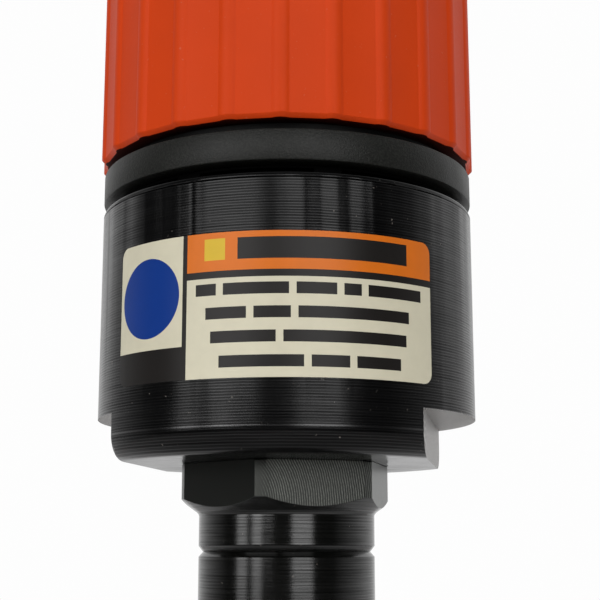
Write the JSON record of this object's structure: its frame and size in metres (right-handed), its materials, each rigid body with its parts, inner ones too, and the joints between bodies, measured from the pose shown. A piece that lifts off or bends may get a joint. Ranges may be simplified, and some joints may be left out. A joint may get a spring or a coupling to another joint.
{
  "type": "straight air die grinder",
  "caption": "Straight air-driven die grinder with a rear hose inlet, turnable exhaust ring, fluted grip, lever throttle and collet spindle.",
  "frame": {"origin": "centre of the air inlet's mouth, on the tool axis", "axes": "+Z along the tool axis from the air inlet to the collet, +Y towards the throttle lever, -Y towards the label"},
  "size_m": [0.0446, 0.0706, 0.191],
  "materials": {
    "black_housing": "turned, black anodised",
    "black_ring": "bead-blasted satin black",
    "dark_steel": "machined, blackened",
    "bright_steel": "machined",
    "ground_steel": "ground",
    "red_grip": "satin moulded",
    "label_film": "printed film",
    "brass_parts": "turned",
    "seal_rubber": "matt",
    "felt": "felt",
    "vane_composite": "resin and cloth",
    "cast_parts": "ground",
    "tube_steel": "blackened",
    "gasket_paper": "pressed fibre"
  },
  "bodies": {
    "tool_body": {"swivel_snap_ring": "bright_steel", "inlet_bushing": "dark_steel", "inlet_screen": "bright_steel", "valve_housing": "black_housing", "info_label": "label_film", "valve_seat": "brass_parts", "valve_spring": "bright_steel", "valve_plug": "brass_parts", "plug_seal": "seal_rubber", "lever_pin": "bright_steel", "muffler_ring": "felt", "motor_housing": "tube_steel", "grip_sleeve": "red_grip", "housing_gasket": "gasket_paper", "rear_end_plate": "cast_parts", "rear_bearing_outer": "ground_steel", "cylinder_liner": "cast_parts", "locating_pin": "bright_steel", "front_end_plate": "cast_parts", "front_bearing_outer": "ground_steel", "preload_washer": "bright_steel", "front_cap": "bright_steel", "dust_seal": "felt"},
    "inlet_swivel": {"inlet_swivel": "dark_steel", "swivel_seal": "seal_rubber"},
    "lever": {"throttle_lever": "tube_steel"},
    "throttle": {"throttle_valve": "brass_parts", "push_pin": "ground_steel", "pin_seal": "seal_rubber"},
    "exhaust_ring": {"exhaust_ring": "black_ring"},
    "spindle": {"rotor": "bright_steel", "rotor_vanes": "vane_composite", "rear_bearing_inner": "ground_steel", "rear_bearing_balls": "ground_steel", "front_bearing_inner": "ground_steel", "front_bearing_balls": "ground_steel", "spindle_spacer": "bright_steel", "collet_holder": "bright_steel", "collet": "ground_steel"},
    "collet_nut": {"collet_nut": "dark_steel"}
  },
  "joints": [
    {"name": "lever_squeeze", "type": "hinge", "parent": "tool_body", "child": "lever", "pos_m": [0, 0.0255, 0.032], "axis": [1, 0, 0], "range_deg": [0, 9], "stiffness_Nm_per_rad": 1, "springref_deg": -5.73},
    {"name": "throttle_push", "type": "slide", "parent": "tool_body", "child": "throttle", "axis": [0, -1, 0], "range_m": [0, 0.0019], "deforming": ["valve_spring"]},
    {"name": "spindle_spin", "type": "hinge", "parent": "tool_body", "child": "spindle", "pos_m": [0, 0, 0.1], "axis": [0, 0, 1], "continuous": true},
    {"name": "collet_nut_turn", "type": "hinge", "parent": "spindle", "child": "collet_nut", "pos_m": [0, 0, 0.182], "axis": [0, 0, 1], "range_deg": [0, 180]},
    {"name": "swivel_turn", "type": "hinge", "parent": "tool_body", "child": "inlet_swivel", "pos_m": [0, 0, 0.01], "axis": [0, 0, 1], "continuous": true},
    {"name": "exhaust_ring_turn", "type": "hinge", "parent": "tool_body", "child": "exhaust_ring", "pos_m": [0, 0, 0.058], "axis": [0, 0, 1], "continuous": true}
  ],
  "couplings": [
    {"joint": "throttle_push", "follows": "lever_squeeze", "m_per_rad": 0.012}
  ]
}
